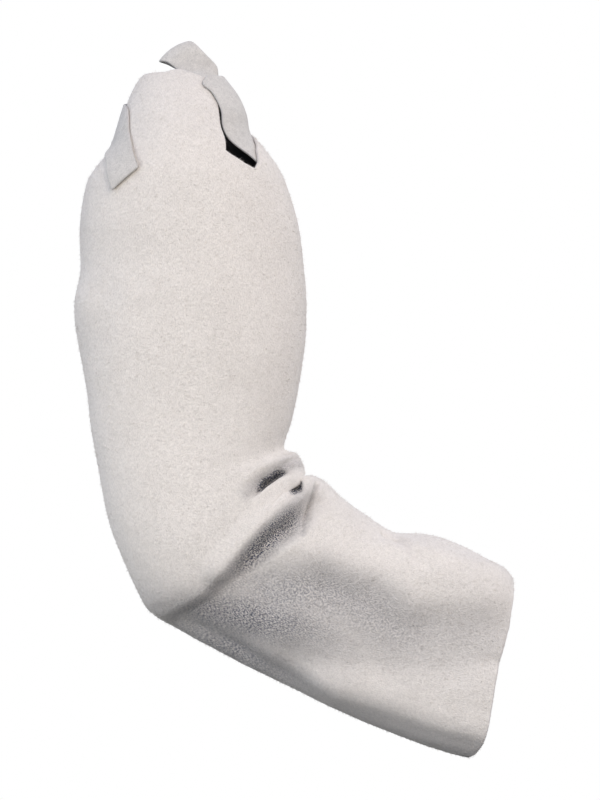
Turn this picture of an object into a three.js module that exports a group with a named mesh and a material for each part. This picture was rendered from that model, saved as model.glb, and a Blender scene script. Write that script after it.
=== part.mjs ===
// Worn split leather sleeve for welding work, bent at the elbow as on an arm.
// Millimetres, +Z up. X runs across the front view, Y away from the front.
// The origin is the middle of the armhole, where the shoulder carries the sleeve.
import * as THREE from "three";

// Leather
const SLEEVE_WALL = 2.2;
const STRAP_WALL = 1.8;
const PIECE_GAP = 0.5;

// Mesh columns round the sleeve, closest on the creased side of the front. Angle 0 is the
// inner side of the arm, -90 the front and 90 the back.
const COLUMN_BANDS = table(
  ["from", "to", "columns"],
  [
    [-150, -62, 14],
    [-62, 0, 12],
    [0, 210, 22],
  ],
);
const ROWS_AT_RIM = 6;
const STRAP_ROWS_PER_STATION = 3;
const STRAP_COLUMNS = 4;

// Sections of the sleeve from the top of the shoulder to the cuff. Each one is an oval
// between a point on the outer (elbow) side and a point on the inner (crook) side of the
// arm, with the Y of its front and back. round is 1 for a true oval and less for one with
// flatter faces. rows is the number of mesh rows to the next section.
const SECTIONS = table(
  ["outerX", "outerZ", "innerX", "innerZ", "frontY", "backY", "round", "rows"],
  [
    [-8, 88, 8, 88, 14, 34, 1, 0],
    [-23, 73, 19, 73, 2, 42, 1, 0],
    [-36, 59, 31, 59, -13, 47, 1, 0],
    [-43.5, 44, 42, 44, -26, 50, 1, 0],
    [-48, 29, 48.5, 29, -37, 52, 1, 0],
    [-52, 14, 55, 14, -46, 53, 1, 0],
    [-57, 0, 66, 0, -52, 54, 1, 0],
    [-69, -14, 76, -14, -56, 55, 1, 0],
    [-77, -29, 83, -29, -59, 56, 1, 0],
    [-82, -60, 92, -60, -61, 57, 1, 1],
    [-81.5, -96, 96.5, -96, -62, 58, 1, 1],
    [-86.5, -126, 98.5, -126, -62, 58, 0.92, 1],
    [-82.5, -158, 97.5, -158, -61, 58, 0.86, 1],
    [-76, -192, 92, -192, -59, 57, 0.82, 2],
    [-72, -228, 87, -215, -58, 56, 0.8, 4],
    [-64, -270, 81, -238, -58, 55, 0.8, 4],
    [-59, -296, 91.5, -243, -58, 55, 0.8, 3],
    [-49.5, -322, 97.5, -256, -58, 55, 0.8, 3],
    [-36, -351, 96.3, -263, -57, 54, 0.8, 3],
    [-25.5, -368.5, 103, -260.5, -56, 53, 0.8, 3],
    [2, -386.5, 114, -265.5, -55, 52, 0.8, 3],
    [36, -404.3, 127.5, -278.5, -53, 51, 0.8, 2],
    [71, -422.6, 148, -293, -51, 49, 0.8, 2],
    [101.5, -437, 169, -305.5, -50, 48, 0.8, 2],
    [133.5, -451.6, 194, -307.5, -49, 47, 0.8, 2],
    [164, -464, 218, -314.5, -48, 46, 0.8, 2],
    [194, -475, 242, -326.5, -47, 45, 0.8, 2],
    [216, -481.8, 257.5, -335, -46, 44, 0.8, 1],
    [232.5, -485.5, 263.5, -343, -45, 43, 0.8, 0],
  ],
);
const RIM_SECTION = 9;

// Height of the armhole edge round the sleeve
const RIM = table(
  ["angle", "z"],
  [
    [-62, -6],
    [-59, -9],
    [-55, -12],
    [-50, -16],
    [-43, -20],
    [-37, -14],
    [-29, -3],
    [-12, 8],
    [0, 9],
    [15, 17],
    [30, 33],
    [45, 47],
    [60, 54],
    [90, 57],
    [115, 52],
    [140, 32],
    [160, 6],
    [180, -7],
    [210, -6],
  ],
);

// Shoulder tongue that rises from the front of the armhole edge: the angles of its two sides by
// height, and the height of its top edge by the share of the way from its left to its right side
const TONGUE_FROM = -150;
const TONGUE_TO = -62;
const TONGUE_BASE = -6;
const TONGUE_ROWS = 8;
const TONGUE_EDGES = table(
  ["z", "left", "right"],
  [
    [TONGUE_BASE, TONGUE_FROM, TONGUE_TO],
    [7, -153.5, -57.6],
    [14, -157, -56.2],
    [25, -164, -54],
    [34, -167.7, -52.6],
    [44, -171, -57],
    [60, -167, -54],
  ],
);
const TONGUE_TOP = table(
  ["share", "z"],
  [
    [0, 60.5],
    [0.12, 61.3],
    [0.3, 61],
    [0.5, 60.8],
    [0.58, 62.2],
    [0.65, 63.6],
    [0.72, 62.9],
    [0.8, 61],
    [0.9, 59],
    [1, 56.2],
  ],
);

// Folds and dents on the front or back face. A bent line of X, Z points gives at each point how
// far the leather stands out (plus) or sinks in (minus), and above and below are the widths
// over which it dies out on the two sides of the line.
const FOLDS = table(
  ["side", "above", "below", "line"],
  [
    ["front", 14, 7, [[83, -251.5, -4], [75, -257.5, -9], [64, -265.5, -9], [55, -272, 0]]],
    ["front", 15, 15, [[98, -269, 6], [30, -338, 5]]],
    ["front", 12, 14, [[104, -280, -7], [84, -298, -10], [62, -318, -6], [46, -334, 0]]],
    ["front", 14, 44, [[84, -298, 0], [62, -318, -5], [46, -334, -11], [22, -355, -12], [-2, -372, -9]]],
    ["front", 5, 6, [[106, -267, -2.5], [103, -282, -2.5], [97, -304, -1]]],
    ["front", 24, 58, [[76, -350, -4], [110, -357, -7], [142, -368, -7], [174, -390, -6], [256, -395, -4]]],
    ["front", 22, 13, [[112, -426, 2.5], [240, -464, 2.5]]],
    ["front", 12, 12, [[166, -305, -3], [190, -327, -2]]],
    ["front", 9, 10, [[235, -404, -1], [256, -406, -2.5]]],
    ["front", 22, 22, [[-60, -120, -2], [-72, -160, -2]]],
    ["back", 22, 22, [[100, -285, -9], [6, -352, -7]]],
    ["back", 15, 16, [[86, -250, -7], [30, -296, -5]]],
    ["back", 22, 22, [[120, -300, -5], [60, -372, -4]]],
  ],
);
// Share of the section's half depth over which a fold dies out towards the side edges
const FOLD_EDGE = 0.4;

// Height of a strap's outer face over the sleeve's outer face, where it lies on top of the
// leather and where it lies inside it.
const OVER = PIECE_GAP + STRAP_WALL;
const UNDER = -(SLEEVE_WALL + PIECE_GAP);
// Each station has the two edge points of the strap's outer face. y is a number, or "front"
// or "back" for a point that lies on that face of the shoulder. There lift is the height over
// the sleeve's outer face, and elsewhere how far the strap bows out between its edges, away
// from the heart of the shoulder.
const SHOULDER_HEART = new THREE.Vector3(5, 40, 55);
const STRAP_FIELDS = ["ax", "ay", "az", "bx", "by", "bz", "lift"];
const FRONT_STRAP = table(STRAP_FIELDS, [
  [31, "front", 60, 19, "front", 56, OVER],
  [37.5, "front", 53, 17, "front", 49, OVER],
  [43.5, "front", 45, 24.5, "front", 41.5, OVER],
  [49.5, "front", 29, 31.5, "front", 27, OVER],
  [55, "front", 17, 34, "front", 13, -0.5],
  [59, "front", 8, 39, "front", 0.5, UNDER - 0.3],
  [64, "front", 2, 52, "front", -10.5, UNDER - 0.3],
  [64.5, "back", -2, 68, "front", -18, UNDER],
  [63.5, "back", -7, 78, "back", -25, UNDER],
]);
const SHOULDER_STRAP = table(STRAP_FIELDS, [
  [14, "front", 40, 34, "front", 46, UNDER],
  [11, "front", 51, 32, "front", 57, UNDER - 0.9],
  [3, -2.5, 60, 26.5, 11, 68.5, 0],
  [-5, 3, 66, 17.5, 10, 78, 0.5],
  [-13, 7, 72.3, 8.5, 13, 87.5, 2],
  [-20.2, 17, 74.5, 3.5, 21, 91, 3],
  [-13, 38, 74.5, 6, 41, 91, 2],
  [-4, 58, 70, 13, 61, 82, 0],
  [-10, 71, 58, 9, 75, 64, 0],
  [-26, 68, 47, -6, 77, 43, 0],
  [-41, 56, 43, -25, 68, 27, 0],
  [-48.5, 34, 41, -49, 46, 15, 0],
  [-44, "back", 39, -54, "back", 10, OVER],
  [-42.5, "front", 30, -57.5, "front", -1, OVER],
  [-39.5, "front", 8, -57, "front", -14, OVER],
  [-31, "front", -20.5, -50.5, "front", -36.5, OVER],
]);

const LEATHER = { color: 0xe0dad5, roughness: 0.95, metalness: 0 };
const STRAP_LEATHER = { color: 0xcfcdcc, roughness: 0.92, metalness: 0 };

// Rows of numbers become records with the named columns.
function table(columns, rows) {
  return rows.map((row) => Object.fromEntries(columns.map((name, i) => [name, row[i]])));
}

function radians(degrees) {
  return (degrees * Math.PI) / 180;
}

function clamp(value, low, high) {
  return Math.min(high, Math.max(low, value));
}

function smooth(value) {
  const t = clamp(value, 0, 1);
  return t * t * (3 - 2 * t);
}

// Power of a value's size that keeps its sign.
function signedPower(value, power) {
  return Math.sign(value) * Math.abs(value) ** power;
}

// Catmull-Rom value at u between p1 and p2.
function spline(p0, p1, p2, p3, u) {
  const a = 2 * p1;
  const b = p2 - p0;
  const c = 2 * p0 - 5 * p1 + 4 * p2 - p3;
  const d = -p0 + 3 * p1 - 3 * p2 + p3;
  return 0.5 * (a + b * u + c * u * u + d * u * u * u);
}

// A table read between its rows: at is a row number with a fraction.
function between(rows, columns, at) {
  const last = rows.length - 1;
  const i = clamp(Math.floor(at), 0, last - 1);
  const u = at - i;
  const near = [i - 1, i, i + 1, i + 2].map((k) => rows[clamp(k, 0, last)]);
  const values = columns.map((name) => [name, spline(...near.map((row) => row[name]), u)]);
  return Object.fromEntries(values);
}

// Straight reading of a table by a key column that rises or falls steadily.
function lookUp(rows, key, column, value) {
  let i = 0;
  while (i < rows.length - 2 && value > rows[i + 1][key]) {
    i += 1;
  }
  const u = clamp((value - rows[i][key]) / (rows[i + 1][key] - rows[i][key]), 0, 1);
  return rows[i][column] + u * (rows[i + 1][column] - rows[i][column]);
}

const OVAL_FIELDS = ["outerX", "outerZ", "innerX", "innerZ", "frontY", "backY", "round"];

function sectionAt(along) {
  return between(SECTIONS, OVAL_FIELDS, along);
}

// Section number of a level section of the shoulder at height z.
function alongAtHeight(z) {
  let low = 0;
  let high = RIM_SECTION;
  for (let step = 0; step < 40; step += 1) {
    const middle = (low + high) / 2;
    if (sectionAt(middle).outerZ > z) {
      low = middle;
    } else {
      high = middle;
    }
  }
  return (low + high) / 2;
}

// Point of the smooth sleeve without folds.
function ovalPoint(along, angle) {
  const s = sectionAt(along);
  const inward = signedPower(Math.cos(radians(angle)), s.round) / 2;
  const facing = signedPower(Math.sin(radians(angle)), s.round);
  const y = (s.frontY + s.backY) / 2 + (facing * (s.backY - s.frontY)) / 2;
  const x = (s.outerX + s.innerX) / 2 + inward * (s.innerX - s.outerX);
  const z = (s.outerZ + s.innerZ) / 2 + inward * (s.innerZ - s.outerZ);
  return new THREE.Vector3(x, y, z);
}

// Outward direction of the smooth sleeve.
function ovalNormal(along, angle) {
  const last = SECTIONS.length - 1;
  const before = ovalPoint(Math.max(0, along - 0.05), angle);
  const after = ovalPoint(Math.min(last, along + 0.05), angle);
  const left = ovalPoint(along, angle - 1);
  const right = ovalPoint(along, angle + 1);
  return right.sub(left).cross(before.sub(after)).normalize();
}

// Nearest place on a fold's line: its distance, its lift, and a side that goes from -1 straight
// below the line to 1 straight above it.
function nearestOnLine(line, point) {
  let nearest = { distance: Infinity };
  for (let k = 0; k < line.length - 1; k += 1) {
    const [fromX, fromZ, fromLift] = line[k];
    const [toX, toZ, toLift] = line[k + 1];
    const run = new THREE.Vector2(toX - fromX, toZ - fromZ);
    const away = new THREE.Vector2(point.x - fromX, point.z - fromZ);
    const t = clamp(away.dot(run) / run.lengthSq(), 0, 1);
    const distance = away.addScaledVector(run, -t).length();
    if (distance < nearest.distance) {
      const height = (Math.sign(run.x) * run.cross(away)) / run.length();
      const side = distance > 0 ? height / distance : 0;
      nearest = { distance, side, lift: fromLift + t * (toLift - fromLift) };
    }
  }
  return nearest;
}

// How far the folds lift the leather at a point of the smooth sleeve.
function foldLift(point, angle) {
  const facing = Math.sin(radians(angle));
  let lift = 0;
  for (const fold of FOLDS) {
    const outward = fold.side === "front" ? -facing : facing;
    const near = nearestOnLine(fold.line, point);
    const width = (fold.above + fold.below + near.side * (fold.above - fold.below)) / 2;
    const hill = 1 - smooth(near.distance / width);
    lift += near.lift * hill * smooth(outward / FOLD_EDGE);
  }
  return lift;
}

function skinPoint(along, angle) {
  const point = ovalPoint(along, angle);
  return point.addScaledVector(ovalNormal(along, angle), foldLift(point, angle));
}

// The two triangles of a quad, cut along the diagonal that leaves them flatter to each other.
function cutQuad(corners, [a, b, c, d]) {
  const facing = (i, j, k) => {
    const one = corners[j].clone().sub(corners[i]);
    return one.cross(corners[k].clone().sub(corners[i])).normalize();
  };
  const alongAC = facing(a, b, c).dot(facing(a, c, d));
  const alongBD = facing(a, b, d).dot(facing(b, c, d));
  return alongAC >= alongBD ? [a, b, c, a, c, d] : [a, b, d, b, c, d];
}

// One closed leather wall from a net of points: quads are the outer face, each point is
// set in by the wall along its normal, and every free edge gets a rim.
function leatherWall(points, quads, wall) {
  const normals = points.map(() => new THREE.Vector3());
  for (const [a, b, c, d] of quads) {
    const one = points[c].clone().sub(points[a]);
    const face = one.cross(points[d].clone().sub(points[b]));
    for (const corner of [a, b, c, d]) {
      normals[corner].add(face);
    }
  }
  const inner = points.map((p, i) => p.clone().addScaledVector(normals[i].normalize(), -wall));
  const shift = points.length;
  const faces = quads.concat(quads.map(([a, b, c, d]) => [d, c, b, a].map((k) => k + shift)));
  const used = new Set();
  for (const quad of quads) {
    quad.forEach((corner, k) => used.add(`${corner}:${quad[(k + 1) % 4]}`));
  }
  for (const quad of quads) {
    quad.forEach((from, k) => {
      const to = quad[(k + 1) % 4];
      if (!used.has(`${to}:${from}`)) {
        faces.push([to, from, from + shift, to + shift]);
      }
    });
  }
  const corners = points.concat(inner);
  const geometry = new THREE.BufferGeometry();
  const positions = corners.flatMap((p) => [p.x, p.y, p.z]);
  geometry.setAttribute("position", new THREE.Float32BufferAttribute(positions, 3));
  geometry.setIndex(faces.flatMap((quad) => cutQuad(corners, quad)));
  geometry.computeVertexNormals();
  return geometry;
}

// Sleeve: rows of columns from the armhole edge to the cuff, with the tongue above.
function sleeveGeometry() {
  const angles = COLUMN_BANDS.flatMap(({ from, to, columns }) =>
    Array.from({ length: columns }, (_, k) => from + ((to - from) * k) / columns),
  );
  const around = angles.length;
  const tongueColumns = COLUMN_BANDS[0].columns;
  const points = [];
  const quads = [];

  const rimBase = SECTIONS[RIM_SECTION].outerZ;
  for (let row = 0; row < ROWS_AT_RIM; row += 1) {
    angles.forEach((angle, k) => {
      const top = k <= tongueColumns ? TONGUE_BASE : lookUp(RIM, "angle", "z", angle);
      const z = top + ((rimBase - top) * row) / ROWS_AT_RIM;
      points.push(skinPoint(alongAtHeight(z), angle));
    });
  }
  const places = [];
  for (let k = RIM_SECTION; k < SECTIONS.length - 1; k += 1) {
    for (let row = 0; row < SECTIONS[k].rows; row += 1) {
      places.push(k + row / SECTIONS[k].rows);
    }
  }
  places.push(SECTIONS.length - 1);
  for (const along of places) {
    angles.forEach((angle) => points.push(skinPoint(along, angle)));
  }
  const rows = ROWS_AT_RIM + places.length;
  for (let row = 0; row < rows - 1; row += 1) {
    for (let k = 0; k < around; k += 1) {
      const here = row * around;
      const next = (k + 1) % around;
      quads.push([here + k, here + around + k, here + around + next, here + next]);
    }
  }

  let below = angles.slice(0, tongueColumns + 1).map((_, k) => k);
  for (let row = 1; row <= TONGUE_ROWS; row += 1) {
    const here = below.map((_, k) => {
      const u = k / tongueColumns;
      const top = lookUp(TONGUE_TOP, "share", "z", u);
      const z = TONGUE_BASE + ((top - TONGUE_BASE) * row) / TONGUE_ROWS;
      const left = lookUp(TONGUE_EDGES, "z", "left", z);
      const right = lookUp(TONGUE_EDGES, "z", "right", z);
      points.push(skinPoint(alongAtHeight(z), left + (right - left) * u));
      return points.length - 1;
    });
    for (let k = 0; k < tongueColumns; k += 1) {
      quads.push([here[k], below[k], below[k + 1], here[k + 1]]);
    }
    below = here;
  }
  return leatherWall(points, quads, SLEEVE_WALL);
}

// Angle of a point round the level section of the shoulder at its height.
function angleAt(point) {
  const s = sectionAt(alongAtHeight(point.z));
  const x = (2 * point.x - s.innerX - s.outerX) / (s.innerX - s.outerX);
  const y = (2 * point.y - s.frontY - s.backY) / (s.backY - s.frontY);
  return (Math.atan2(y, x) * 180) / Math.PI;
}

// Point of the shoulder at an angle and height, lifted off along its normal.
function shoulderPoint(z, angle, lift) {
  const along = alongAtHeight(z);
  return ovalPoint(along, angle).addScaledVector(ovalNormal(along, angle), lift);
}

// Edge point of a strap station, laid on the shoulder where its y names a face.
function strapEdge(x, y, z) {
  if (typeof y === "number") {
    return new THREE.Vector3(x, y, z);
  }
  const s = sectionAt(alongAtHeight(z));
  const across = clamp((2 * x - s.innerX - s.outerX) / (s.innerX - s.outerX), -1, 1);
  const angle = (Math.acos(across) * 180) / Math.PI;
  return shoulderPoint(z, y === "front" ? -angle : angle, 0);
}

// Strap: a band lofted through its stations, which give its outer face. Between its edges
// it follows the shoulder wherever its stations lie on it.
function strapGeometry(stations) {
  const edges = stations.map((s) => {
    const a = strapEdge(s.ax, s.ay, s.az);
    const b = strapEdge(s.bx, s.by, s.bz);
    const drape = typeof s.ay === "number" ? 0 : 1;
    const bow = drape ? 0 : s.lift;
    return { ax: a.x, ay: a.y, az: a.z, bx: b.x, by: b.y, bz: b.z, lift: s.lift, drape, bow };
  });
  const fields = Object.keys(edges[0]);
  const rows = (stations.length - 1) * STRAP_ROWS_PER_STATION;
  const points = [];
  const quads = [];
  for (let row = 0; row <= rows; row += 1) {
    const e = between(edges, fields, row / STRAP_ROWS_PER_STATION);
    const a = new THREE.Vector3(e.ax, e.ay, e.az);
    const b = new THREE.Vector3(e.bx, e.by, e.bz);
    const out = a.clone().add(b).multiplyScalar(0.5).sub(SHOULDER_HEART).normalize();
    for (let k = 0; k <= STRAP_COLUMNS; k += 1) {
      const u = k / STRAP_COLUMNS;
      const point = a.clone().lerp(b, u);
      const laid = shoulderPoint(point.z, angleAt(point), e.lift);
      point.addScaledVector(out, e.bow * 4 * u * (1 - u));
      points.push(point.lerp(laid, clamp(e.drape, 0, 1)));
    }
  }
  const wide = STRAP_COLUMNS + 1;
  for (let row = 0; row < rows; row += 1) {
    for (let k = 0; k < STRAP_COLUMNS; k += 1) {
      const here = row * wide + k;
      quads.push([here, here + 1, here + wide + 1, here + wide]);
    }
  }
  return leatherWall(points, quads, STRAP_WALL);
}

function leatherMesh(name, geometry, look) {
  const mesh = new THREE.Mesh(geometry, new THREE.MeshStandardMaterial(look));
  mesh.name = name;
  return mesh;
}

const sleeve = new THREE.Group();
sleeve.add(leatherMesh("sleeve", sleeveGeometry(), LEATHER));
sleeve.add(leatherMesh("front_strap", strapGeometry(FRONT_STRAP), STRAP_LEATHER));
sleeve.add(leatherMesh("shoulder_strap", strapGeometry(SHOULDER_STRAP), STRAP_LEATHER));

export default sleeve;
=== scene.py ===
"""Worn split leather sleeve with its shoulder straps: leather, seam, nap and studio.

Pieces are in metres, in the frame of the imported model: X across the front view, Y away from the
front, +Z up and the origin in the middle of the armhole. The tables and fields that give the form
of the leather are in millimetres and degrees. Angle 0 is the inner side of the arm, -90 the front
and 90 the back.
"""

import logging
import math
from collections.abc import Sequence
from dataclasses import dataclass, field
from enum import Enum, IntEnum
from functools import partial
from typing import Any, NamedTuple

import bpy
import numpy as np
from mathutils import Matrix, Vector, noise


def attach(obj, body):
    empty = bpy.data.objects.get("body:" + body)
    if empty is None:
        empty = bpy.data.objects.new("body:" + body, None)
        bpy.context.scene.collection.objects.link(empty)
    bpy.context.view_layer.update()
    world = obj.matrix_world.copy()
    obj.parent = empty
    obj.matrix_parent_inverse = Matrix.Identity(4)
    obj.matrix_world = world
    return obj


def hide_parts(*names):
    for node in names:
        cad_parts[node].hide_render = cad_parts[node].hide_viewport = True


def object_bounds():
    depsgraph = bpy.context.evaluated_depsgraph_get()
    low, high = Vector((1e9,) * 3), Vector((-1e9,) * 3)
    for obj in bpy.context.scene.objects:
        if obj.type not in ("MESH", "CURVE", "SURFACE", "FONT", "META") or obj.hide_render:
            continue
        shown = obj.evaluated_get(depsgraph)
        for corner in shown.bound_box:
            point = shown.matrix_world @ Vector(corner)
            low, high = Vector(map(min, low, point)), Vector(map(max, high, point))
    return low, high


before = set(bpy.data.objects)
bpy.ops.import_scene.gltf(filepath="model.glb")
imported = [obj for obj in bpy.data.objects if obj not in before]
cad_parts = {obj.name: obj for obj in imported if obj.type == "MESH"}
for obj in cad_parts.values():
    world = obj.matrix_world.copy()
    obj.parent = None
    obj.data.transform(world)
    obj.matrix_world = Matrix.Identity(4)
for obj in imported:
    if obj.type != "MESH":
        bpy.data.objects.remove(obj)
CAD_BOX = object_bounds()

LOG = logging.getLogger("leather_sleeve")
BODY = "root"
MM = 0.001
NAP_RUN = "nap_run"
CREASE_SHADE = "painted_crease_shade"

Array = np.ndarray


class Face(Enum):
    """Face of the sleeve, with the sign of Y on it."""

    FRONT = -1.0
    BACK = 1.0


class Layer(IntEnum):
    """Material slot of a leather piece."""

    OUTER = 0
    INNER = 1
    EDGE = 2


class Hold(Enum):
    """How a sheet of leather is held."""

    HUNG = "hung"
    DRAPED = "draped"


class Winding(Enum):
    """Row and column of each corner of a quad, for a grid whose rows go down, up or along a strap."""

    DOWN = ((0, 0), (1, 0), (1, 1), (0, 1))
    UP = ((1, 0), (0, 0), (0, 1), (1, 1))
    ALONG = ((0, 0), (0, 1), (1, 1), (1, 0))


class Slot(Enum):
    """Material slot of a piece."""

    SLEEVE = "sleeve_leather"
    STRAP = "strap_leather"


class Section(NamedTuple):
    """Oval between a point on the outer and one on the inner side of the arm."""

    outer_x: float
    outer_z: float
    inner_x: float
    inner_z: float
    front_y: float
    back_y: float
    roundness: float
    rows: int


class Profile(Enum):
    """Form of a fold across its line: a soft swell or dent, or a pleat that goes straight back."""

    ROUND = "round"
    SHARP = "sharp"


class Fold(NamedTuple):
    """Bent line on one face along which the leather stands out or sinks in."""

    # Widths over which the fold dies out on the two sides of its line
    above: float
    below: float
    # x, z and lift of each point
    line: tuple[tuple[float, float, float], ...]
    face: Face = Face.FRONT
    profile: Profile = Profile.ROUND
    # How far the leather above the line hangs down over it, or with a minus that below stands up
    hang: float = 0


class ShadeLine(NamedTuple):
    """Bent line on the front along which the nap stands up and the colour is painted darker as shade, in
    flecks.
    """

    # Widths over which the painted shade dies out on the two sides of its line
    above: float
    below: float
    # x, z and share of painted shade at each point, over 1 where its flecks close up
    line: tuple[tuple[float, float, float], ...]


class Station(NamedTuple):
    """Two edge points of a strap's outer face; a Face for y lays the point on that face."""

    ax: float
    ay: float | Face
    az: float
    bx: float
    by: float | Face
    bz: float
    lift: float


class Band(NamedTuple):
    """Stretch of angles with a number of mesh columns."""

    start: float
    end: float
    columns: int


SLEEVE_WALL = 2.2
STRAP_WALL = 1.8
PIECE_GAP = 0.5
OVER = PIECE_GAP + STRAP_WALL
UNDER = -(SLEEVE_WALL + PIECE_GAP)

# From the top of the shoulder to the cuff. A roundness of 1 is a true oval and less has flatter
# faces; rows is the number of mesh rows to the next section.
SECTIONS = (
    Section(-8, 88, 8, 88, 14, 34, 1, 0),
    Section(-23, 73, 19, 73, 2, 42, 1, 0),
    Section(-36, 59, 31, 59, -13, 47, 1, 0),
    Section(-43.5, 44, 42, 44, -26, 50, 1, 0),
    Section(-48, 29, 48.5, 29, -37, 52, 1, 0),
    Section(-52, 14, 55, 14, -46, 53, 1, 0),
    Section(-57, 0, 66, 0, -52, 54, 1, 0),
    Section(-69, -14, 76, -14, -56, 55, 1, 0),
    Section(-77, -29, 83, -29, -59, 56, 1, 0),
    Section(-82, -60, 92, -60, -61, 57, 1, 9),
    Section(-81.5, -96, 96.5, -96, -62, 58, 1, 8),
    Section(-86.5, -126, 98.5, -126, -62, 58, 0.92, 8),
    Section(-82.5, -158, 97.5, -158, -61, 58, 0.86, 9),
    Section(-76, -192, 92, -192, -59, 57, 0.82, 11),
    Section(-72, -228, 87, -215, -58, 56, 0.8, 17),
    Section(-64, -270, 81, -238, -58, 55, 0.8, 14),
    Section(-59, -296, 91.5, -243, -58, 55, 0.8, 14),
    Section(-49.5, -322, 97.5, -256, -58, 55, 0.8, 15),
    Section(-36, -351, 96.3, -263, -57, 54, 0.8, 13),
    Section(-25.5, -368.5, 103, -260.5, -56, 53, 0.8, 14),
    Section(2, -386.5, 114, -265.5, -55, 52, 0.8, 13),
    Section(36, -404.3, 127.5, -278.5, -53, 51, 0.8, 12),
    Section(71, -422.6, 148, -293, -51, 49, 0.8, 11),
    Section(101.5, -437, 169, -305.5, -50, 48, 0.8, 11),
    Section(133.5, -451.6, 194, -307.5, -49, 47, 0.8, 11),
    Section(164, -464, 218, -314.5, -48, 46, 0.8, 11),
    Section(194, -475, 242, -326.5, -47, 45, 0.8, 8),
    Section(216, -481.8, 257.5, -335, -46, 44, 0.8, 6),
    Section(232.5, -485.5, 263.5, -343, -45, 43, 0.8, 0),
)
RIM_SECTION = 9

# Height of the armhole edge: angle, z
RIM = (
    (-62, -6), (-59, -9), (-55, -12), (-50, -16), (-43, -20), (-37, -14), (-29, -3), (-12, 8), (0, 9),
    (15, 17), (30, 33), (45, 47), (60, 54), (90, 57), (115, 52), (140, 32), (160, 6), (180, -7), (210, -6),
)

# Angles of the tongue's two sides at a height: z, left, right
TONGUE_EDGES = (
    (-6, -150, -62),
    (7, -153.5, -57.6),
    (14, -157, -56.2),
    (25, -164, -54),
    (34, -167.7, -52.6),
    (44, -171, -57),
    (60, -167, -54),
)
# Height of the tongue's top edge: share of the way from its left to its right side, z
TONGUE_TOP = (
    (0, 60.5), (0.12, 61.3), (0.3, 61), (0.5, 60.8), (0.58, 62.2),
    (0.65, 63.6), (0.72, 62.9), (0.8, 61), (0.9, 59), (1, 56.2),
)

# How far the cuff's cut edge strays along the arm: share of the way from its lower to its upper side, mm
CUFF_EDGE = (
    (0, -6), (0.05, -2.5), (0.11, 0.2), (0.21, 1.6), (0.32, 0.2), (0.43, -1.6),
    (0.55, -1.7), (0.66, 0.6), (0.77, 2.4), (0.88, 0.6), (1, -3.5),
)

FOLDS = (
    # Crook of the elbow: the deep pleat, the crease that leads into it, the notch and the ridge below
    Fold(
        16, 4,
        ((84, -256, -5), (77, -260, -15), (67, -267, -16), (59, -273, -5), (53, -276, 0)),
        profile=Profile.SHARP, hang=-2.5,
    ),
    Fold(5, 3, ((95, -243, -3), (84, -250.5, -2))),
    Fold(8, 9, ((94, -268, -6), (91, -271, -17), (87.5, -273.3, -12)), profile=Profile.SHARP),
    Fold(16, 15, ((96, -266, 5), (60, -298, 5), (30, -332, 4))),
    # Elbow: the valley from the crook, its run to the point, the hollow below and the thin crease on top
    Fold(12, 13, ((106, -282, -6), (85.5, -300, -11), (63.5, -320, -6), (47, -336, 0))),
    Fold(
        14, 70,
        ((84, -298, 0), (62, -318, -5), (46, -336, -11), (22, -361, -10), (-2, -378, -6.5), (-20, -389, -2)),
    ),
    Fold(60, 30, ((15, -390, -5), (46, -407, -9), (78, -425, -8), (117, -443, 0))),
    Fold(2.5, 3.5, ((106, -267, -3.5), (104, -282, -4.5), (97, -304, -2))),
    # Forearm: two long hollows, the low ridge, the swell on top, the crease before it, the cuff's crease
    Fold(30, 110, ((80, -342, -4), (110, -348, -7), (142, -358, -7), (174, -380, -6), (256, -382, -4))),
    Fold(52, 24, ((90, -400, -2), (140, -404, -4), (205, -408, -3), (250, -402, -1.5))),
    Fold(22, 13, ((112, -426, 2.5), (240, -464, 2.5))),
    Fold(12, 38, ((156, -315, 3), (195, -321, 5.5), (241, -336, 5.5))),
    Fold(7, 7, ((164, -303, -5), (178, -316, -3.5), (193, -330, -1))),
    Fold(7, 9, ((236, -404, -1), (256, -406, -2.2))),
    # Dent in the outer side of the upper arm, and plain folds at the hidden back of the elbow
    Fold(22, 22, ((-60, -120, -2), (-72, -160, -2))),
    Fold(20, 22, ((100, -285, -9), (6, -352, -7)), face=Face.BACK),
    Fold(14, 16, ((86, -250, -7), (30, -296, -5)), face=Face.BACK),
    Fold(22, 22, ((120, -300, -5), (60, -372, -4)), face=Face.BACK),
)

# Painted shade: darker bands where shade falls in the elbow's valleys, the forearm's hollow and the lower
# side
SHADE_LINES = (
    # Valley of the elbow, and the lower part of the elbow
    ShadeLine(
        13, 22,
        (
            (99, -279, 0.45), (87, -290, 1.3), (68, -308, 1.5), (52, -324, 1.15), (35, -338, 0.6),
            (8, -354, 0.45), (-19, -366, 0.3),
        ),
    ),
    ShadeLine(44, 48, ((-12, -368, 0.5), (12, -372, 1), (52, -374, 1.1), (94, -378, 0.8), (130, -392, 0.4))),
    # Cuff, and the forearm's hollow
    ShadeLine(30, 40, ((222, -350, 0.1), (252, -372, 0.18))),
    ShadeLine(
        36, 64,
        (
            (38, -352, 0.5), (62, -354, 0.7), (84, -348, 0.75), (109, -343, 0.7), (140, -354, 0.65),
            (171, -375, 0.6), (202, -380, 0.42), (234, -376, 0.36),
        ),
    ),
    # Just under the valley, over the deep pleat, and in the thin crease
    ShadeLine(10, 22, ((10, -358, 0.6), (42, -344, 0.65), (74, -336, 0.55), (92, -330, 0.3))),
    ShadeLine(12, 8, ((98, -246, 0.3), (85, -252, 0.6), (66, -264, 0.65), (54, -274, 0.4))),
    ShadeLine(3, 3, ((106, -268, 0.6), (104, -282, 0.9), (97, -304, 0.6))),
    # Lower side, from the elbow to the cuff
    ShadeLine(
        32, 20,
        (
            (-10, -386, 0.8), (40, -405, 0.95), (80, -424, 0.65), (117, -443, 0.4), (190, -470, 0.4),
            (230, -484, 0.45),
        ),
    ),
)

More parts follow.
